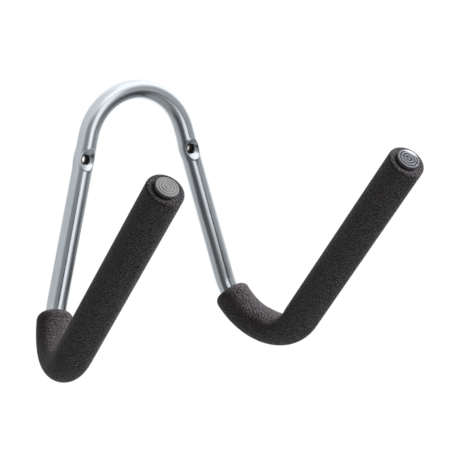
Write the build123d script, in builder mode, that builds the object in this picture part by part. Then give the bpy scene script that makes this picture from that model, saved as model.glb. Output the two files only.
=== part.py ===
from build123d import *
from math import acos, cos, pi, radians, sin, tan
import os

# Wall hook: one bent steel tube with a pressed screw seat in each leg,
# a foam sleeve over each arm and a plastic plug in each open end.
# Millimetres and degrees. The wall is the plane Y = 0, the room is on the -Y side, Z points up.
# The origin lies on the wall, midway between the two screw holes.

# Tube and its bends, on the centre line
tube_diameter = 16.0
tube_wall = 1.5
leg_splay = 15.0
leg_below_seat = 110.5
foot_radius = 45.0
arm_rise = 44.0
arm_length = 197.0

# Screw seats: how far apart the holes are, and how far each lies below the end of the crown's bend
hole_spacing = 96.0
seat_drop = 18.5
screw_hole_diameter = 8.0
seat_mouth_diameter = 15.0
seat_depth = 4.5
throat_length = 1.5

# Where a seat is pressed in, the tube swells sideways and its front is flattened
swell_length = 22.0
swell_width = 1.4
seat_flat = 0.6
swell_steps = 8

# Bending the crown makes the tube oval, most of all at the top: thinner seen from the front
crown_thinning = 0.9
crown_bulge = 0.45
crown_steps = 16

# Foam sleeves: how thick they are, and how far each goes round the foot's bend from the arm
foam_thickness = 6.25
sleeve_round_bend = 89.0
sleeve_clearance = 0.05
sleeve_edge_chamfer = 3.0

# End plugs: a round head with turned rings on its face, and a shank with barbs
plug_overhang = 0.7
plug_head_height = 3.0
plug_head_chamfer = 0.4
plug_dome_rise = 0.5
plug_core_diameter = 9.0
plug_shank_length = 15.0
plug_clearance = 0.1
plug_barb_count = 3
plug_barb_height = 3.0
plug_ring_count = 3
plug_ring_pitch = 2.25
plug_ring_width = 0.7
plug_ring_depth = 0.35

# Places that follow from these sizes
tube_radius = tube_diameter / 2
bore_radius = tube_radius - tube_wall
sleeve_radius = tube_radius + foam_thickness
head_radius = tube_radius + plug_overhang
hole_x = hole_spacing / 2
splay = radians(leg_splay)
rise = radians(arm_rise)
crown_radius = (hole_x - seat_drop * sin(splay)) / cos(splay)
leg_direction = Vector(sin(splay), 0, -cos(splay))
arm_direction = Vector(0, -cos(rise), sin(rise))
foot_turn = acos(leg_direction.dot(arm_direction))

# Corners of the centre line, which its bends round off
seat_centre = Vector(hole_x, -tube_radius, 0)
apex = Vector(0, -tube_radius, hole_x / tan(splay))
foot_setback = foot_radius * tan(foot_turn / 2)
foot_corner = seat_centre + leg_direction * (leg_below_seat + foot_setback)
arm_end = foot_corner + arm_direction * (foot_setback + arm_length)


def other_side(point):
    """The same point on the left half of the hook."""
    return Vector(-point.X, point.Y, point.Z)


with BuildLine() as centre_line:
    FilletPolyline(
        other_side(arm_end),
        other_side(foot_corner),
        apex,
        foot_corner,
        arm_end,
        radius=[foot_radius, crown_radius, foot_radius],
    )
tube_path = centre_line.wire()
path_length = tube_path.length
seat_distance = crown_radius * (pi / 2 - splay) + seat_drop
seat_start = seat_distance - swell_length / 2
seat_end = seat_distance + swell_length / 2


def path_stretch(start, end):
    """The centre line between two distances from the top of the crown, on the right half."""
    return tube_path.trim(0.5 + start / path_length, min(0.5 + end / path_length, 1))


limb_path = path_stretch(seat_end, path_length / 2)
sleeve_path = path_stretch(path_length / 2 - arm_length - sleeve_round_bend, path_length / 2)


def spaced(start, end, steps):
    """Evenly spaced distances from start to end, both included."""
    return [start + (end - start) * step / steps for step in range(steps + 1)]


def tube_section(distance, inset):
    """An oval section of the tube at a distance from the top of the crown, its back on the wall.
    Local X runs across the tube in the wall's plane, and local Y towards the room."""
    tangent = tube_path % (0.5 + distance / path_length)
    crown_amount = cos(pi / 2 * min(abs(distance) / seat_start, 1)) ** 2
    from_seat = min(abs(abs(distance) - seat_distance) / swell_length, 0.5)
    seat_amount = cos(pi * from_seat) ** 2
    half_width = tube_radius + (swell_width * seat_amount - crown_thinning * crown_amount) / 2
    half_depth = tube_radius + (crown_bulge * crown_amount - seat_flat * seat_amount) / 2
    section_plane = Plane(
        origin=tube_path @ (0.5 + distance / path_length),
        x_dir=(-tangent.Z, 0, tangent.X),
        z_dir=tangent,
    )
    with BuildSketch(section_plane) as section:
        with Locations((0, half_depth - tube_radius)):
            Ellipse(half_width - inset, half_depth - inset)
    return section.sketch


# Crown, from just above one screw seat to just above the other
crown_stations = spaced(-seat_start, seat_start, crown_steps)
with BuildPart() as crown:
    loft([tube_section(station, 0) for station in crown_stations])
    loft([tube_section(station, tube_wall) for station in crown_stations], mode=Mode.SUBTRACT)

# Screw seat, worked on the short piece of the right leg around the hole
seat_stations = spaced(seat_start, seat_end, swell_steps)

# The hole's axis runs through the tube from front to back. The profiles below are drawn in the
# level plane through it, as radius and height in front of the wall, and turned about it.
profile_plane = Plane(origin=(hole_x, 0, 0), x_dir=(1, 0, 0), z_dir=(0, 0, -1))
hole_axis = Axis((hole_x, 0, 0), (0, -1, 0))
hole_radius = screw_hole_diameter / 2
mouth_radius = seat_mouth_diameter / 2
mouth_height = tube_diameter - seat_flat
throat_height = mouth_height - seat_depth
flare = (mouth_radius - hole_radius) / seat_depth
punch_overrun = 3.0
skin_radius = hole_radius + tube_wall

with BuildPart() as seat_hollow:
    loft([tube_section(station, tube_wall) for station in seat_stations])
    # The funnel's own wall stays: it is as thick as the tube and ends in a short throat
    with BuildSketch(profile_plane):
        with BuildLine():
            Polyline(
                (0, throat_height - throat_length),
                (skin_radius, throat_height - throat_length),
                (skin_radius, throat_height),
                (skin_radius + flare * (seat_depth + punch_overrun), mouth_height + punch_overrun),
                (0, mouth_height + punch_overrun),
                close=True,
            )
        make_face()
    revolve(axis=hole_axis, mode=Mode.SUBTRACT)

with BuildPart() as seat:
    loft([tube_section(station, 0) for station in seat_stations])
    add(seat_hollow.part, mode=Mode.SUBTRACT)
    with BuildSketch(profile_plane):
        with BuildLine():
            Polyline(
                (0, 0),
                (hole_radius, 0),
                (hole_radius, throat_height),
                (hole_radius + flare * (seat_depth + punch_overrun), mouth_height + punch_overrun),
                (0, mouth_height + punch_overrun),
                close=True,
            )
        make_face()
    revolve(axis=hole_axis, mode=Mode.SUBTRACT)

# Bent tube: on each side the limb, which is the leg below the seat and the arm, then the seat,
# and the crown across the top
with BuildPart() as bent_tube:
    with BuildSketch(Plane(origin=limb_path @ 0, z_dir=limb_path % 0)):
        Circle(tube_radius)
        Circle(bore_radius, mode=Mode.SUBTRACT)
    sweep(path=limb_path)
    add(seat.part)
    mirror(about=Plane.YZ)
    add(crown.part)

# Foam sleeve: a thick hose pushed on from the arm's end, round the bend and up to the leg.
# It is pressed flat where it meets the wall.
with BuildPart() as right_foam_sleeve:
    with BuildSketch(Plane(origin=sleeve_path @ 0, x_dir=(1, 0, 0), z_dir=sleeve_path % 0)):
        Circle(sleeve_radius)
        Circle(tube_radius + sleeve_clearance, mode=Mode.SUBTRACT)
    sweep(path=sleeve_path)
    end_faces = faces().filter_by(GeomType.PLANE)
    chamfer([end_face.outer_wire().edge() for end_face in end_faces], sleeve_edge_chamfer)
    split(bisect_by=Plane.XZ, keep=Keep.TOP)

# End plug: turned about the arm's axis, drawn as radius and height above the tube's end
plug_plane = Plane(origin=arm_end, x_dir=(1, 0, 0), z_dir=Vector(1, 0, 0).cross(arm_direction))
plug_axis = Axis(arm_end, arm_direction)
barb_radius = bore_radius - plug_clearance
barb_pitch = plug_shank_length / plug_barb_count
dome_radius = (head_radius**2 + plug_dome_rise**2) / (2 * plug_dome_rise)


def face_height(radius):
    """Height of the head's face above the tube's end: a shallow ball, highest on the axis."""
    return plug_head_height + plug_dome_rise - dome_radius + (dome_radius**2 - radius**2) ** 0.5


with BuildPart() as right_end_plug:
    with BuildSketch(plug_plane):
        with BuildLine():
            Line((0, 0), (head_radius, 0))
            Line((head_radius, 0), (head_radius, plug_head_height))
            ThreePointArc(
                (head_radius, face_height(head_radius)),
                (head_radius / 2, face_height(head_radius / 2)),
                (0, face_height(0)),
            )
            Line((0, face_height(0)), (0, 0))
        make_face()
        chamfer(vertices().group_by(Axis.X)[-1].sort_by(Axis.Y)[-1], plug_head_chamfer)
        with Locations((0, 0)):
            Rectangle(plug_core_diameter / 2, plug_shank_length, align=(Align.MIN, Align.MAX))
        for barb in range(plug_barb_count):
            barb_top = -barb * barb_pitch
            Polygon(
                (0, barb_top),
                (barb_radius, barb_top),
                (plug_core_diameter / 2, barb_top - plug_barb_height),
                (0, barb_top - plug_barb_height),
                align=None,
            )
        for ring in range(1, plug_ring_count + 1):
            ring_radius = ring * plug_ring_pitch
            with Locations((ring_radius, face_height(ring_radius))):
                Rectangle(plug_ring_width, plug_ring_depth * 2, mode=Mode.SUBTRACT)
    revolve(axis=plug_axis)

# The left sleeve and plug mirror the right ones
with BuildPart() as left_foam_sleeve:
    mirror(right_foam_sleeve.part, about=Plane.YZ)
with BuildPart() as left_end_plug:
    mirror(right_end_plug.part, about=Plane.YZ)

bent_tube.part.label = "bent_tube"
right_foam_sleeve.part.label = "right_foam_sleeve"
left_foam_sleeve.part.label = "left_foam_sleeve"
right_end_plug.part.label = "right_end_plug"
left_end_plug.part.label = "left_end_plug"

os.makedirs("parts", exist_ok=True)
export_step(bent_tube.part, "parts/bent_tube.step")
export_step(right_foam_sleeve.part, "parts/right_foam_sleeve.step")
export_step(left_foam_sleeve.part, "parts/left_foam_sleeve.step")
export_step(right_end_plug.part, "parts/right_end_plug.step")
export_step(left_end_plug.part, "parts/left_end_plug.step")
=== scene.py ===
from math import acos, cos, pi, radians, sin

import bmesh
import bpy
import numpy as np
from mathutils import Matrix, Vector


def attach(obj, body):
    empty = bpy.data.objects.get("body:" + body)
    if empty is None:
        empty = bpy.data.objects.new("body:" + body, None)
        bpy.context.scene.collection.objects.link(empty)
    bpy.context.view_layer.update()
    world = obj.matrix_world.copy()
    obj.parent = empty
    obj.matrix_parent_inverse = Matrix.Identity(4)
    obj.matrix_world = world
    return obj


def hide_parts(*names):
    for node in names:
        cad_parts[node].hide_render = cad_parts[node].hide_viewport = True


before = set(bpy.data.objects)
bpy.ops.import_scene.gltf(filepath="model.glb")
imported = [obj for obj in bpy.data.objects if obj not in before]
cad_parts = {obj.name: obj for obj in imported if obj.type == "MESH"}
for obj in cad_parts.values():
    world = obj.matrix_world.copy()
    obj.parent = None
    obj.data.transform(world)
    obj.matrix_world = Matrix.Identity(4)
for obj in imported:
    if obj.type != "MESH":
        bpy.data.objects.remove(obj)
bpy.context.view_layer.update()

# Bent tube. One length of round steel tube, bent cold and then zinc plated: a high crown, two splayed legs
# that lie on the wall, and two arms that rise towards the room. Two screws would hold it, one through the
# seat pressed into each leg. It is worked out in millimetres, as the straight tube first, and then carried
# round the bends.
MILLIMETRE = 0.001
tube_radius = 8.0
tube_wall = 1.5
splay = radians(15)
rise = radians(44)
hole_x = 48.0
seat_drop = 18.5
leg_below_seat = 110.5
foot_radius = 45.0
arm_length = 197.0

leg_direction = np.array([sin(splay), 0, -cos(splay)])
arm_direction = np.array([0, -cos(rise), sin(rise)])
foot_turn = acos(leg_direction @ arm_direction)
foot_inward = (arm_direction - cos(foot_turn) * leg_direction) / sin(foot_turn)
crown_radius = (hole_x - seat_drop * sin(splay)) / cos(splay)
crown_centre = np.array([0, -tube_radius, seat_drop * cos(splay) - crown_radius * sin(splay)])
crown_run = crown_radius * (pi / 2 - splay)
leg_run = seat_drop + leg_below_seat
foot_run = foot_radius * foot_turn
seat_distance = crown_run + seat_drop
leg_end = crown_run + leg_run
foot_end = leg_end + foot_run
tube_end = foot_end + arm_length


def bent(place):
    """Carries places on the straight tube round its bends. A place is side, depth and distance: how far it
    lies across the tube, towards the room, and along it from the top of the crown. The centre line is an
    arc of crown_radius, a straight leg, an arc of foot_radius in the plane of leg and arm, and a straight
    arm, and the side and depth directions turn with it without any twist."""
    side, depth, distance = np.moveaxis(place, -1, 0)[..., None]
    turned = np.clip(distance, 0, crown_run) / crown_radius
    down = np.clip(distance - crown_run, 0, leg_run)
    folded = np.clip(distance - leg_end, 0, foot_run) / foot_radius
    out = np.clip(distance - foot_end, 0, None)
    x_axis, y_axis, z_axis = np.eye(3)
    level = np.sin(turned) * x_axis + np.cos(turned) * z_axis
    centre = (
        crown_centre
        + crown_radius * level
        + down * leg_direction
        + foot_radius * (np.sin(folded) * leg_direction + (1 - np.cos(folded)) * foot_inward)
        + out * arm_direction
    )
    hinge = np.cross(leg_direction, foot_inward)
    inward = np.cos(folded) * foot_inward - np.sin(folded) * leg_direction
    leg_level = np.array([cos(splay), 0, sin(splay)])
    across = np.where(folded > 0, (leg_level @ foot_inward) * inward + (leg_level @ hinge) * hinge, level)
    room = np.where(folded > 0, (-y_axis @ foot_inward) * inward + (-y_axis @ hinge) * hinge, -y_axis)
    return centre + side * across + depth * room


# The crown's bend leaves the tube a little oval, and pressing a seat makes it swell there
crown_thinning = 0.9
crown_bulge = 0.45
swell_length = 22.0
swell_width = 1.4
seat_flat = 0.6


def half_sizes(distance):
    """Half the tube's width and depth at a distance from the top of the crown: each bend or dent fades in
    and out as a squared cosine."""
    crown = np.cos(pi / 2 * np.clip(distance / (seat_distance - swell_length / 2), 0, 1)) ** 2
    seat = np.cos(pi * np.clip(np.abs(distance - seat_distance) / swell_length, 0, 0.5)) ** 2
    width = tube_radius + (swell_width * seat - crown_thinning * crown) / 2
    depth = tube_radius + (crown_bulge * crown - seat_flat * seat) / 2
    return width, depth


def skin(angle, distance, inset):
    """Places on the tube's outer skin, or on its bore with the wall as inset: an oval at each distance,
    whose back stays on the wall. The angle is 0 at the front."""
    width, depth = half_sizes(distance)
    side = (width - inset) * np.sin(angle)
    out = depth - tube_radius + (depth - inset) * np.cos(angle)
    return np.stack(np.broadcast_arrays(side, out, distance), -1)


def row_distances(*stretches):
    """Distances of the mesh's rows along the tube. Each stretch has its start, its end and its number of
    rows, and a row that two stretches share counts once."""
    return np.unique(np.concatenate([np.linspace(*stretch) for stretch in stretches]).round(6))


# Columns of the mesh round the tube, and rows along it, closer together where it is bent. At each seat a
# window is left open in the skin and in the bore, at the front and at the back.
columns = 96
window_columns = 18
window_rows = 24
window_reach = 9.5
window_start = seat_distance - window_reach
window_end = seat_distance + window_reach
rows = row_distances(
    (0, crown_run, 46),
    (crown_run, window_start, 10),
    (window_start, window_end, window_rows + 1),
    (window_end, leg_end, 22),
    (leg_end, foot_end, 40),
    (foot_end, tube_end, 12),
)
angles = np.arange(columns) * 2 * pi / columns
first_window_row = int(np.argmin(np.abs(rows - window_start)))
window_row_span = first_window_row + np.arange(window_rows + 1)

# Screw seat, pressed in from the front and then bored through: a funnel with a low lip round its mouth, and
# a short throat under it
hole_radius = 4.0
mouth_radius = 7.5
seat_depth = 3.1
throat_bottom = 1.4
throat_edge = 0.2
rim_rounding = 0.6
lip_height = 0.55
lip_spread = 1.2
lip_fade = 6
funnel_steps = 30
funnel_skin_steps = 10
back_steps = 8
flare = (mouth_radius - hole_radius) / seat_depth
funnel_bottom = tube_radius - seat_flat - seat_depth
funnel_skin = hole_radius + tube_wall


def grid_faces(numbers, around=False):
    """Four-sided faces between neighbouring rows and columns of vertex numbers. With around, the last
    column joins the first."""
    if around:
        numbers = np.concatenate([numbers, numbers[:, :1]], 1)
    corners = [numbers[:-1, :-1], numbers[1:, :-1], numbers[1:, 1:], numbers[:-1, 1:]]
    return np.stack(corners, -1).reshape(-1, 4)


def lower_of(first, second, rounding):
    """The lower of two heights, with the corner between them rounded off: where they are nearer than the
    rounding, a parabola runs under both."""
    near = np.clip(rounding - np.abs(first - second), 0, None) / max(rounding, 1e-9)
    return np.minimum(first, second) - near**2 * rounding / 4


def window_loop(middle):
    """Row and column numbers of the mesh lines round a window, in order, about a middle column."""
    left, right = middle - window_columns, middle + window_columns
    top, bottom = window_row_span[0], window_row_span[-1]
    across = np.arange(left, right)
    along = np.arange(top, bottom)
    row = np.concatenate([np.full(across.size, top), along, np.full(across.size, bottom), along[::-1] + 1])
    column = np.concatenate([across, np.full(along.size, right), across[::-1] + 1, np.full(along.size, left)])
    return row, column % columns


def window_rings(edge, inset, inner_radius, front, steps):
    """Rings of places from a window's edge to a circle round the hole's axis, on straight radial lines. In
    front the depth is the skin's or the funnel's, whichever is lower, and at the back it is the skin's. The
    punch throws up a low lip where they meet: a bell curve of the gap between them, on the outer skin."""
    along = edge[:, 2] - seat_distance
    bearing = np.arctan2(edge[:, 0], along)
    share = np.linspace(0, 1, steps + 1)[:, None]
    reach = np.hypot(edge[:, 0], along) * (1 - share) + inner_radius * share
    side = reach * np.sin(bearing)
    distance = seat_distance + reach * np.cos(bearing)
    width, depth = half_sizes(distance)
    drop = np.sqrt(np.clip(1 - (side / (width - inset)) ** 2, 0, 1))
    if not front:
        return np.stack([side, depth - tube_radius - (depth - inset) * drop, distance], -1)
    on_skin = depth - tube_radius + (depth - inset) * drop
    funnel = funnel_bottom - inset + (reach - (funnel_skin if inset else hole_radius)) / flare
    lip = np.exp(-((funnel - on_skin) / lip_spread) ** 2) * np.clip(share * lip_fade, 0, 1)
    if inset:
        out = lower_of(on_skin, funnel, 0)
    else:
        out = lower_of(on_skin + lip_height * lip, funnel, rim_rounding)
    return np.stack([side, out, distance], -1)


def throat_ring(neighbour, radius, depth):
    """One ring of places at a radius from the hole's axis and at a depth, in line with another ring's."""
    bearing = np.arctan2(neighbour[:, 0], neighbour[:, 2] - seat_distance)
    depths = np.full(bearing.shape, depth)
    return np.stack([radius * np.sin(bearing), depths, seat_distance + radius * np.cos(bearing)], -1)[None]


# The bore and the seat's throat carry the dull mark: thin, dull zinc with painted shade
places, faces, dull_and_shaded_share, known = [], [], [], 0
for inset in (0, tube_wall):
    surface = skin(angles[None, :], rows[:, None], inset)
    numbers = known + np.arange(surface[..., 0].size).reshape(surface.shape[:2])
    row_of, column_of = np.meshgrid(np.arange(len(rows) - 1), np.arange(columns), indexing="ij")
    in_rows = (row_of >= window_row_span[0]) & (row_of < window_row_span[-1])
    from_front = (column_of + window_columns) % columns
    from_back = (column_of + window_columns - columns // 2) % columns
    in_window = in_rows & ((from_front < 2 * window_columns) | (from_back < 2 * window_columns))
    places.append(surface.reshape(-1, 3))
    faces.append(grid_faces(numbers, around=True)[~in_window.ravel()])
    dull_and_shaded_share.append(np.full(surface[..., 0].size, 1.0 if inset else 0.0))
    known += surface[..., 0].size

for middle, front in ((0, True), (columns // 2, False)):
    row, column = window_loop(middle)
    outer_edge, inner_edge = (skin(angles[column], rows[row], inset) for inset in (0, tube_wall))
    if front:
        outer = window_rings(outer_edge, 0, hole_radius, True, funnel_steps)
        inner = window_rings(inner_edge, tube_wall, funnel_skin, True, funnel_skin_steps)[::-1]
        throat = [
            throat_ring(outer[-1], hole_radius, throat_bottom + throat_edge),
            throat_ring(outer[-1], hole_radius + throat_edge, throat_bottom),
            throat_ring(inner[0], funnel_skin - throat_edge, throat_bottom),
            throat_ring(inner[0], funnel_skin, throat_bottom + throat_edge),
        ]
    else:
        outer = window_rings(outer_edge, 0, hole_radius, False, back_steps)
        inner = window_rings(inner_edge, tube_wall, hole_radius, False, back_steps)[::-1]
        throat = []
    patch = np.concatenate([outer, *throat, inner])
    numbers = known + np.arange(patch[..., 0].size).reshape(patch.shape[:2])
    places.append(patch.reshape(-1, 3))
    faces.append(grid_faces(numbers, around=True))
    dull_and_shaded_share.append(np.repeat(np.arange(len(patch)) >= len(outer), patch.shape[1]).astype(float))
    known += patch[..., 0].size

# The ring of wall at the open end joins the outer skin to the bore
ring_numbers = np.arange(columns) + (len(rows) - 1) * columns
faces.append(grid_faces(np.stack([ring_numbers, ring_numbers + len(rows) * columns]), around=True))
places = np.concatenate(places)
faces = np.concatenate(faces)
dull_and_shaded_share = np.concatenate(dull_and_shaded_share)


def whole_hook(right_points):
    """The right half's points, in metres, and after them their mirror images in the plane x = 0."""
    return np.concatenate([right_points, right_points * [-1, 1, 1]]) * MILLIMETRE


def new_piece(name, points, quads, sharp_angle=40, **marks):
    """A mesh object from points in metres. Points that coincide become one, so seams and poles close, and
    then the faces are turned outwards. Each mark is a number or a vector that every point carries."""
    mesh = bpy.data.meshes.new(name)
    mesh.from_pydata(points.tolist(), [], quads.tolist())
    for mark, carried in marks.items():
        kind, slot = ("FLOAT_VECTOR", "vector") if carried.ndim == 2 else ("FLOAT", "value")
        mesh.attributes.new(mark, kind, "POINT").data.foreach_set(slot, carried.ravel())
    surface = bmesh.new()
    surface.from_mesh(mesh)
    bmesh.ops.remove_doubles(surface, verts=surface.verts, dist=0.002 * MILLIMETRE)
    bmesh.ops.dissolve_degenerate(surface, edges=surface.edges, dist=0.0001 * MILLIMETRE)
    bmesh.ops.recalc_face_normals(surface, faces=surface.faces)
    surface.to_mesh(mesh)
    surface.free()
    mesh.shade_smooth()
    mesh.set_sharp_from_angle(angle=radians(sharp_angle))
    piece = bpy.data.objects.new(name, mesh)
    bpy.context.scene.collection.objects.link(piece)
    return piece


straight_right = places * MILLIMETRE
tube = new_piece(
    "zinc_plated_tube",
    whole_hook(bent(places)),
    np.concatenate([faces, faces + len(places)]),
    straight=np.concatenate([straight_right, straight_right * [1, 1, -1]]),
    dull=np.concatenate([dull_and_shaded_share, dull_and_shaded_share]),
)


class Wire:
    """A node socket that takes part in arithmetic. Each operator adds one Math node to the same tree."""

    def __init__(self, tree, socket=None):
        self.tree = tree
        self.socket = socket

    def node(self, kind, settings={}, inputs={}, output=0):
        """Adds a node, sets its own settings and then its inputs, which are numbers or wires by socket
        name or number, and gives the wire of one of its outputs, if it has any."""
        made = self.tree.nodes.new(kind)
        for setting, value in settings.items():
            if setting == "stops":
                while len(made.color_ramp.elements) < len(value):
                    made.color_ramp.elements.new(0.5)
                for element, (position, shade) in zip(made.color_ramp.elements, value):
                    element.position = position
                    element.color = (shade, shade, shade, 1)
            else:
                setattr(made, setting, value)
        for place, value in inputs.items():
            if isinstance(value, Wire):
                self.tree.links.new(value.socket, made.inputs[place])
            else:
                made.inputs[place].default_value = value
        return None if output is None else Wire(self.tree, made.outputs[output])

    def math(self, operation, first, second):
        return self.node("ShaderNodeMath", {"operation": operation}, {0: first, 1: second})

    def __add__(self, other):
        return self.math("ADD", self, other)

    def __radd__(self, other):
        return self.math("ADD", other, self)

    def __sub__(self, other):
        return self.math("SUBTRACT", self, other)

    def __rsub__(self, other):
        return self.math("SUBTRACT", other, self)

    def __mul__(self, other):
        return self.math("MULTIPLY", self, other)

    def __rmul__(self, other):
        return self.math("MULTIPLY", other, self)

    def stops(self, *pairs):
        """This value through a ramp of positions and grey levels."""
        return self.node("ShaderNodeValToRGB", {"stops": pairs}, {"Fac": self})

    def mix(self, factor, first, second):
        """A colour between two, each a colour or a wire."""
        return self.node("ShaderNodeMix", {"data_type": "RGBA"}, {0: factor, 6: first, 7: second}, output=2)

    def mark(self, name, output):
        """A mark that the mesh's points carry: its vector is output 1 and its number output 2."""
        return self.node("ShaderNodeAttribute", {"attribute_name": name}, output=output)

    def noise(self, place, scale, detail=2.0, roughness=0.5, stretch=(1, 1, 1)):
        """Smooth noise from 0 to 1, with features of about 1 / scale metres, at these coordinates."""
        scaled = self.node("ShaderNodeMapping", {}, {"Vector": place, "Scale": stretch})
        inputs = {"Vector": scaled, "Scale": scale, "Detail": detail, "Roughness": roughness}
        return self.node("ShaderNodeTexNoise", {}, inputs)

    def bump(self, height, strength, distance):
        """The normal of a surface with this fine relief."""
        return self.node("ShaderNodeBump", {}, {"Strength": strength, "Distance": distance, "Height": height})


def new_finish(name, **numbers):
    """A material with one Principled shader and these numbers on its sockets. Gives the material, the
    shader and an empty wire that adds nodes to it."""
    material = bpy.data.materials.new(name)
    material.use_nodes = True
    shader = material.node_tree.nodes["Principled BSDF"]
    for socket, value in numbers.items():
        shader.inputs[socket.replace("_", " ")].default_value = value
    return material, shader, Wire(material.node_tree)


def feed(wire, shader, socket):
    """Links a wire to one of the shader's sockets."""
    wire.tree.links.new(wire.socket, shader.inputs[socket])


# Zinc: drawing marks run along the tube, and the plating is faintly cloudy. Inside the seat's throat and in
# the bore it is thin and dull, and its colour is darkened there as painted shade.
deep_zinc = (0.60, 0.655, 0.70, 1)
light_zinc = (0.72, 0.77, 0.81, 1)
thin_zinc_and_shade = (0.16, 0.15, 0.14, 1)
zinc_roughness = 0.13
mark_roughness = 0.10
cloud_roughness = 0.06
thin_roughness = 0.3

zinc, zinc_shader, zinc_wire = new_finish("zinc_plating", Metallic=1.0)
straight = zinc_wire.mark("straight", output=1)
dull = zinc_wire.mark("dull", output=2)
drawing_marks = zinc_wire.noise(straight, 900, detail=3, stretch=(1, 1, 0.02))
clouds = zinc_wire.noise(straight, 70, detail=4, roughness=0.6, stretch=(1, 1, 0.35))
lightness = (drawing_marks * 0.5 + clouds * 0.5).stops((0.35, 0.0), (0.65, 1.0))
plating = zinc_wire.mix(lightness, deep_zinc, light_zinc)
# Painted shade: the throat and the bore take the dark thin zinc colour
feed(zinc_wire.mix(dull, plating, thin_zinc_and_shade), zinc_shader, "Base Color")
feed(
    zinc_roughness + drawing_marks * mark_roughness + clouds * cloud_roughness + dull * thin_roughness,
    zinc_shader,
    "Roughness",
)
feed(zinc_wire.bump(drawing_marks, strength=0.05, distance=0.00005), zinc_shader, "Normal")
tube.data.materials.append(zinc)
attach(tube, "root")
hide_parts("bent_tube")

# Foam sleeves. Each is a length of closed-cell foam hose, pushed on over the arm and round the bend to the
# leg, and held there by its own grip. Its ends were cut square. The wall presses its back flat, and the bend
# drags the inner side of the hose up the leg, stretches the edge there and folds a crease into it.
sleeve_radius = 14.25
sleeve_bore = 8.05
sleeve_round_bend = 89.0
sleeve_start = foot_end - sleeve_round_bend
plug_end_rounding = 2.6
plug_end_slope = 0.3
leg_end_rounding = 5.5
bore_edge_rounding = 0.8
rounding_steps = 8
leg_end_drag = 2.5
drag_reach = 40.0
pressed_rounding = 1.6
thinnest_foam = 0.3


def rounded_corner(radius, distance, size, start):
    """Places on a quarter circle of this size about a point, as radius from the axis and distance along
    it, turning back to a start angle."""
    turn = start + np.linspace(pi / 2, 0, rounding_steps)
    return np.stack([radius + size * np.sin(turn), distance + size * np.cos(turn)], -1)


# The hose's outline in a plane through its axis: along the outside, over the end by the plug, back through
# the bore, and over the end on the leg
outside_run = row_distances(
    (sleeve_start + leg_end_rounding, foot_end, 48),
    (foot_end, tube_end - plug_end_rounding, 40),
)
plug_end_corner = rounded_corner(
    sleeve_radius - plug_end_rounding, tube_end - plug_end_rounding, plug_end_rounding, 0
)
plug_end_bore = rounded_corner(
    sleeve_bore + bore_edge_rounding,
    tube_end - plug_end_slope - bore_edge_rounding,
    bore_edge_rounding,
    -pi / 2,
)
leg_end_bore = rounded_corner(
    sleeve_bore + bore_edge_rounding, sleeve_start + bore_edge_rounding, bore_edge_rounding, pi
)
leg_end_corner = rounded_corner(
    sleeve_radius - leg_end_rounding, sleeve_start + leg_end_rounding, leg_end_rounding, pi / 2
)
hose_outline = np.concatenate([
    np.stack([np.full(outside_run.size, sleeve_radius), outside_run], -1),
    plug_end_corner[1:],
    plug_end_bore,
    np.stack([np.full(outside_run.size - 2, sleeve_bore), outside_run[-2:0:-1]], -1),
    leg_end_bore,
    leg_end_corner[:-1],
])


def turned(outline):
    """Places of an outline of radius and distance, carried round the straight tube's axis."""
    radius, distance = outline[:, :1], outline[:, 1:]
    return np.stack(np.broadcast_arrays(radius * np.sin(angles), radius * np.cos(angles), distance), -1)


hose = turned(hose_outline)
drag_left = np.clip(1 - (hose[..., 2] - sleeve_start) / drag_reach, 0, 1) ** 2
foam_left = np.clip((hose_outline[:, 0] - sleeve_bore) / (sleeve_radius - sleeve_bore), 0, 1)[:, None]
flat_back = -thinnest_foam * (1 - foam_left)

# The end face by the plug is painted darker than the skin, as shade
end_shade_fade = 0.9 * plug_end_rounding
shaded_end_share = np.clip((hose[..., 2] - (tube_end - plug_end_rounding)) / end_shade_fade, 0, 1)

# Inside the bend both hoses fold to a crease, nearer to the arm, and the right one swells a little nearer to
# the leg. Places are shares of the bend from the leg's end. On the straight tube the inner side of the bend
# is a direction in side and depth.
crease_depth = 4.2
crease_middle = 0.74
crease_before = 0.22
crease_after = 0.26
swelling_middle = 0.22
swelling_reach = 0.28
bend_share = (hose[..., 2] - leg_end) / foot_run
inward = np.array([cos(splay) * foot_inward[0] + sin(splay) * foot_inward[2], -foot_inward[1], 0])
inner_side = np.clip(hose @ inward / sleeve_radius, 0, 1) ** 2 * foam_left


def hump(share, middle, before, after):
    """A squared cosine about the middle, which fades out over its reach before and after it."""
    away = (share - middle) / np.where(share < middle, before, after)
    return np.cos(pi / 2 * np.clip(away, -1, 1)) ** 2


crease = crease_depth * hump(bend_share, crease_middle, crease_before, crease_after)
hose_numbers = np.arange(hose[..., 0].size).reshape(hose.shape[:2])
hose_faces = grid_faces(np.concatenate([hose_numbers, hose_numbers[:1]]), around=True)

# Foam: a fine crust over cells a little more than a millimetre wide, faintly mottled
crust_dark = (0.0135, 0.0114, 0.0110, 1)
crust_light = (0.033, 0.0278, 0.0272, 1)
end_face_shade = (0.004, 0.004, 0.004, 1)
end_shade_strength = 0.4
foam_roughness = 0.42
crust_roughness = 0.2

foam, foam_shader, foam_wire = new_finish(
    "black_foam",
    Specular_IOR_Level=0.06,
    Sheen_Weight=0.04,
    Sheen_Roughness=0.4,
    Sheen_Tint=(0.80, 0.72, 0.78, 1),
)
foam_place = foam_wire.node("ShaderNodeTexCoord", output=3)
cells = foam_wire.node("ShaderNodeTexVoronoi", {}, {"Vector": foam_place, "Scale": 760.0})
crust = foam_wire.noise(foam_place, 640, detail=2, roughness=0.6)
mottle = foam_wire.noise(foam_place, 160, detail=3)
crust_tone = (crust * 0.85 + mottle * 0.15).stops((0.38, 0.0), (0.66, 1.0))
hose_colour = foam_wire.mix(crust_tone, crust_dark, crust_light)
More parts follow.
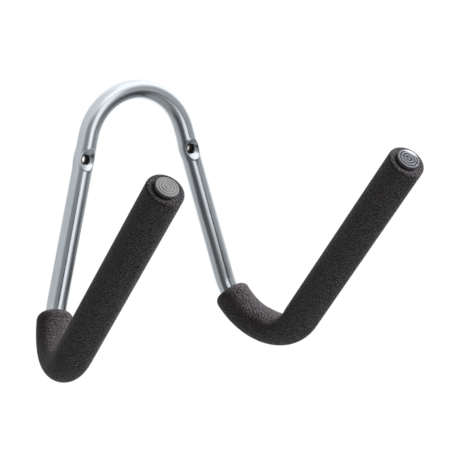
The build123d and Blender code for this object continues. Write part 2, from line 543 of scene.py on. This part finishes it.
# Painted shade darkens the end face by the plug
cut = foam_wire.mark("cut", output=2)
feed(foam_wire.mix(cut * end_shade_strength, hose_colour, end_face_shade), foam_shader, "Base Color")
feed(foam_roughness + crust * crust_roughness, foam_shader, "Roughness")
feed(foam_wire.bump(crust * 0.8 + cells * 0.6, strength=1.0, distance=0.0024), foam_shader, "Normal")

# The left hose sits a little further up its leg than the right one
for side, turn_over, further_up, swelling in (("right", 1, 1.6, 2.2), ("left", -1, 3.4, 0)):
    swollen = swelling * hump(bend_share, swelling_middle, swelling_reach, swelling_reach)
    hose_shape = hose + (inner_side * (swollen - crease))[..., None] * inward
    dragged = drag_left * (leg_end_drag * np.cos(angles) + further_up)
    hose_points = bent(hose_shape - dragged[..., None] * [0, 0, 1])
    # Nothing goes behind the wall's plane: the back of the hose flattens there, with soft edges
    hose_points[..., 1] = lower_of(hose_points[..., 1], flat_back, pressed_rounding)
    sleeve = new_piece(
        side + "_foam_hose",
        hose_points.reshape(-1, 3) * [turn_over, 1, 1] * MILLIMETRE,
        hose_faces,
        sharp_angle=60,
        cut=shaded_end_share.ravel(),
    )
    sleeve.data.materials.append(foam)
    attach(sleeve, "root")
    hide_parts(side + "_foam_sleeve")

# End plugs. Each is moulded in grey plastic and pushed into the arm's open end, where the barbs of its shank
# grip. Its round head shuts the tube and carries the fine rings of the turned mould. The right one also shows
# a moulding line across its face and a painted highlight along one edge.
head_radius = 8.7
head_height = 3.0
dome_rise = 0.5
head_edge = 1.2
edge_steps = 6
face_steps = 90
ring_pitch = 2.25
ring_count = 3
ring_width = 0.42
ring_depth = 0.35
dimple_radius = 0.45
core_radius = 4.5
shank_length = 15.0
barb_radius = 6.4
barb_height = 3.0
barb_pitch = 5.0
barb_count = 3


def face_height(radius):
    """Height of the head's face over the tube's end: a shallow dome with a smooth groove at each ring and
    a dimple in the middle."""
    dome = head_height + dome_rise * (1 - (radius / head_radius) ** 2)
    ring_radii = [ring_pitch * ring for ring in range(1, ring_count + 1)]
    grooves = sum(np.exp(-(((radius - ring_radius) / ring_width) ** 2)) for ring_radius in ring_radii)
    return dome - ring_depth * (grooves + np.exp(-((radius / dimple_radius) ** 2)))


shank = [(0, -shank_length), (core_radius, -shank_length)]
for barb in reversed(range(barb_count)):
    barb_top = -barb * barb_pitch
    shank.append((core_radius, barb_top - barb_height))
    shank.append((barb_radius, barb_top))
    shank.append((core_radius if barb else head_radius, barb_top))
edge_turn = np.linspace(0, pi / 2, edge_steps)
face_radius = head_radius - head_edge
head_side = np.stack([
    face_radius + head_edge * np.cos(edge_turn),
    face_height(head_radius) - head_edge + head_edge * np.sin(edge_turn),
], -1)
face_radii = np.linspace(face_radius, 0, face_steps)[1:]
rim_gap = face_height(face_radius) - face_height(head_radius)
face = np.stack([face_radii, face_height(face_radii) - rim_gap], -1)
plug_outline = np.concatenate([np.array(shank), head_side, face]) + [0, tube_end]
plug_places = turned(plug_outline)
plug_points = bent(plug_places).reshape(-1, 3)
plug_numbers = np.arange(plug_places[..., 0].size).reshape(plug_places.shape[:2])
plug_faces = grid_faces(plug_numbers, around=True)
plug_straight = plug_places.reshape(-1, 3) * MILLIMETRE

# Plastic: the rings are painted alternately dark and light grey as painted reflections, under grime, and the
# head's side is painted dark as shade. The face starts at a height over the tube's end and fades in by a
# share for each metre. The moulding line and the painted highlight on one edge both lie across one direction,
# given as side, depth and distance on the straight tube.
head_side_shade = (0.022, 0.021, 0.022, 1)
edge_highlight_grey = (0.26, 0.26, 0.27, 1)
seam_black = (0.004, 0.004, 0.005, 1)
face_start = (tube_end + head_height - 1.15) * MILLIMETRE
face_fade = 700
across_seam_direction = (0.978, 0.208, 0.0)
seam_sharpness = 1100000
highlight_slope = 120
# The two plugs are one plastic; their faces differ by painted light: the right face has strong painted ring
# reflections, the left a duller, even tone.
plug_looks = {
    "right": {
        "dark": (0.003, 0.003, 0.005, 1),
        "light": (0.051, 0.050, 0.050, 1),
        "contrast": 0.60, "tone": 0.10, "roughness": 0.30, "seam": 0.9, "edge_highlight": 0.8,
    },
    "left": {
        "dark": (0.030, 0.029, 0.027, 1),
        "light": (0.060, 0.056, 0.052, 1),
        "contrast": 0.14, "tone": 0.35, "roughness": 0.36, "seam": 0.0, "edge_highlight": 0.0,
    },
}
for side, turn_over in (("right", 1), ("left", -1)):
    look = plug_looks[side]
    plastic, plastic_shader, plastic_wire = new_finish(side + "_grey_plastic", Specular_IOR_Level=1.0)
    plug_place = plastic_wire.mark("straight", output=1)
    grime = plastic_wire.noise(plug_place, 900, detail=3)

    # Painted ring reflections, dark and light by turns, by the distance from the axis
    flattened = plastic_wire.node("ShaderNodeMapping", {}, {"Vector": plug_place, "Scale": (1, 1, 0)})
    plug_radius = plastic_wire.node("ShaderNodeVectorMath", {"operation": "LENGTH"}, {0: flattened}, output=1)
    ring_turn = plug_radius * (2 * pi / (ring_pitch * MILLIMETRE))
    ring_wave = plastic_wire.node("ShaderNodeMath", {"operation": "COSINE"}, {0: ring_turn})
    shade = (ring_wave * -look["contrast"] + grime * 0.4 + look["tone"]).stops((0.1, 0.0), (0.9, 1.0))
    painted_ring_reflections = plastic_wire.mix(shade, look["dark"], look["light"])

    # Painted highlight along one edge, and the moulding line, by the distance from the line
    across_seam = plastic_wire.node(
        "ShaderNodeVectorMath",
        {"operation": "DOT_PRODUCT"},
        {0: plug_place, 1: across_seam_direction},
        output=1,
    )
    painted_edge_highlight = (across_seam * highlight_slope + grime * 0.1).stops((0.62, 0.0), (0.98, look["edge_highlight"]))
    seam = (across_seam * across_seam * seam_sharpness).stops((0.1, look["seam"]), (1.0, 0.0))
    face_colour = plastic_wire.mix(seam, plastic_wire.mix(painted_edge_highlight, painted_ring_reflections, edge_highlight_grey), seam_black)

    # The head's side, below the face, is painted dark as shade
    plug_height = plastic_wire.node("ShaderNodeSeparateXYZ", {}, {0: plug_place}, output=2)
    on_face = ((plug_height - face_start) * face_fade).stops((0.0, 0.0), (0.7, 1.0))
    feed(plastic_wire.mix(on_face, head_side_shade, face_colour), plastic_shader, "Base Color")
    feed(look["roughness"] + grime * 0.1, plastic_shader, "Roughness")
    feed(plastic_wire.bump(grime, strength=0.1, distance=0.0001), plastic_shader, "Normal")
    plug = new_piece(
        side + "_tube_plug",
        plug_points * [turn_over, 1, 1] * MILLIMETRE,
        plug_faces,
        sharp_angle=50,
        straight=plug_straight,
    )
    plug.data.materials.append(plastic)
    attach(plug, "root")
    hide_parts(side + "_end_plug")

# Studio. A white room with a pale floor some way below the hook, a large soft lamp above it and a smaller one
# to its right, and a tent of grey and white panels round the hook that only shiny surfaces reflect, as a
# photographer sets them for bright metal.
view_azimuth = radians(-32.552)
hook_middle = np.array([0, -0.1, -0.05])
tent_radius = 0.62
tent_columns = 145
tent_rows = 73

# Brightness of the tent by elevation in degrees, and its panels in the order in which they are hung: left and
# right edge, lower and upper edge, how softly they end, and brightness. Azimuths are in degrees from the
# camera's side, to the right as the camera sees it.
tent_heights = (-90, -60, -40, 0, 30, 60, 75)
tent_brightness = (0.36, 0.36, 0.50, 0.60, 0.74, 0.84, 0.95)
panels = (
    (140, 222, -6, 120, 10, 1.10),
    (168, 222, -42, -6, 10, 1.15),
    (108, 178, 30, 80, 14, 1.38),
    (136, 178, 0, 34, 9, 1.34),
    (98, 162, -60, -14, 12, 0.34),
    (50, 118, -20, 44, 12, 0.43),
    (66, 112, -56, -12, 8, 0.11),
    (0, 62, -58, -24, 8, 0.25),
    (-40, 12, -12, 42, 9, 0.29),
    (-58, 6, -62, -8, 12, 0.10),
    (-20, 200, 57, 200, 6, 1.37),
    (15, 52, -22, 52, 7, 1.20),
)


def soft_edge(inside, softness):
    """A share from 0 to 1 that rises smoothly over the softness, half way at the edge."""
    share = np.clip(inside / (2 * softness) + 0.5, 0, 1)
    return share * share * (3 - 2 * share)


turn = np.linspace(-180, 180, tent_columns)[None, :]
height = np.linspace(-90, 90, tent_rows)[:, None]
glow = np.interp(height, tent_heights, tent_brightness) + 0 * turn
for left_edge, right_edge, low_edge, high_edge, softness, brightness in panels:
    middle = (left_edge + right_edge) / 2
    beside = np.abs((turn - middle + 180) % 360 - 180)
    covered = (
        soft_edge((right_edge - left_edge) / 2 - beside, softness)
        * soft_edge(height - low_edge, softness)
        * soft_edge(high_edge - height, softness)
    )
    glow += (brightness - glow) * covered
azimuth, elevation = view_azimuth + np.radians(turn), np.radians(height)
heading = np.stack(np.broadcast_arrays(
    np.sin(azimuth) * np.cos(elevation), -np.cos(azimuth) * np.cos(elevation), np.sin(elevation)
), -1)
tent_points = (hook_middle + tent_radius * heading).reshape(-1, 3)
tent = new_piece("tent", tent_points, grid_faces(np.arange(glow.size).reshape(glow.shape)), glow=glow.ravel())
tent_finish = bpy.data.materials.new("tent_cloth")
tent_finish.use_nodes = True
tent_finish.node_tree.nodes.clear()
tent_wire = Wire(tent_finish.node_tree)
tent_light = tent_wire.node(
    "ShaderNodeEmission", {}, {"Color": tent_wire.mark("glow", output=2), "Strength": 1.0}
)
tent_wire.node("ShaderNodeOutputMaterial", {}, {"Surface": tent_light}, output=None)
tent.data.materials.append(tent_finish)
tent.visible_camera = False
tent.visible_diffuse = False
tent.visible_transmission = False
tent.visible_volume_scatter = False
tent.visible_shadow = False

# Floor, a square of pale paper
floor_reach = 1.1
floor_middle = [0, -0.1, -0.75]
corners = np.array([[-1, -1, 0], [1, -1, 0], [1, 1, 0], [-1, 1, 0]]) * floor_reach + floor_middle
floor_mesh = bpy.data.meshes.new("pale_floor")
floor_mesh.from_pydata(corners.tolist(), [], [(0, 1, 2, 3)])
floor = bpy.data.objects.new("pale_floor", floor_mesh)
bpy.context.scene.collection.objects.link(floor)
floor_mesh.materials.append(new_finish("pale_paper", Base_Color=(0.8, 0.8, 0.8, 1), Roughness=0.9)[0])

# Lamps, each with its width and depth, power and place. Nothing shiny reflects them.
lamp_colour = (0.85, 0.91, 1.0)
for name, width, depth, power, place in (
    ("overhead_lamp", 1.4, 1.2, 8.0, (-0.35, -0.35, 1.5)),
    ("right_lamp", 0.5, 0.6, 174.0, (0.90, -0.70, 0.68)),
):
    light = bpy.data.lights.new(name, "AREA")
    light.shape = "RECTANGLE"
    light.size = width
    light.size_y = depth
    light.energy = power
    light.color = lamp_colour
    lamp = bpy.data.objects.new(name, light)
    lamp.location = place
    lamp.rotation_euler = (Vector(hook_middle) - lamp.location).to_track_quat("-Z", "Y").to_euler()
    lamp.visible_glossy = False
    bpy.context.scene.collection.objects.link(lamp)

# White room. It is seen as white, and lights the hook half as strongly.
soft_light = 0.5
room = bpy.data.worlds.new("white_room")
bpy.context.scene.world = room
room.use_nodes = True
room.node_tree.nodes.clear()
room_wire = Wire(room.node_tree)
camera_ray, glossy_ray, transmission_ray = (
    room_wire.node("ShaderNodeLightPath", output=ray)
    for ray in ("Is Camera Ray", "Is Glossy Ray", "Is Transmission Ray")
)
seen = room_wire.math("MAXIMUM", room_wire.math("MAXIMUM", camera_ray, glossy_ray), transmission_ray)
backdrop = room_wire.node(
    "ShaderNodeBackground", {}, {"Color": (1, 1, 1, 1), "Strength": soft_light + seen * (1 - soft_light)}
)
room_wire.node("ShaderNodeOutputWorld", {}, {"Surface": backdrop}, output=None)
bpy.context.scene.view_settings.view_transform = "Standard"

# Camera. It stands to the left of the hook and a little above it, about 1.6 metres away, tipped by about two
# degrees, with a long lens.
view_elevation = radians(8.843)
view_roll = radians(-1.927)
camera_place = Vector((-0.807137, -1.404700, 0.187227))
forward = Vector((
    -sin(view_azimuth) * cos(view_elevation), cos(view_azimuth) * cos(view_elevation), -sin(view_elevation)
))
level = Vector((cos(view_azimuth), sin(view_azimuth), 0))
down = forward.cross(level)
right = cos(view_roll) * level - sin(view_roll) * down
up = -(sin(view_roll) * level + cos(view_roll) * down)
camera = bpy.data.cameras.new("camera")
camera.sensor_width = 36
camera.lens = 160.5
viewpoint = bpy.data.objects.new("camera", camera)
facing = Matrix((right, up, -forward)).transposed().to_4x4()
viewpoint.matrix_world = Matrix.Translation(camera_place) @ facing
bpy.context.scene.collection.objects.link(viewpoint)
bpy.context.scene.camera = viewpoint
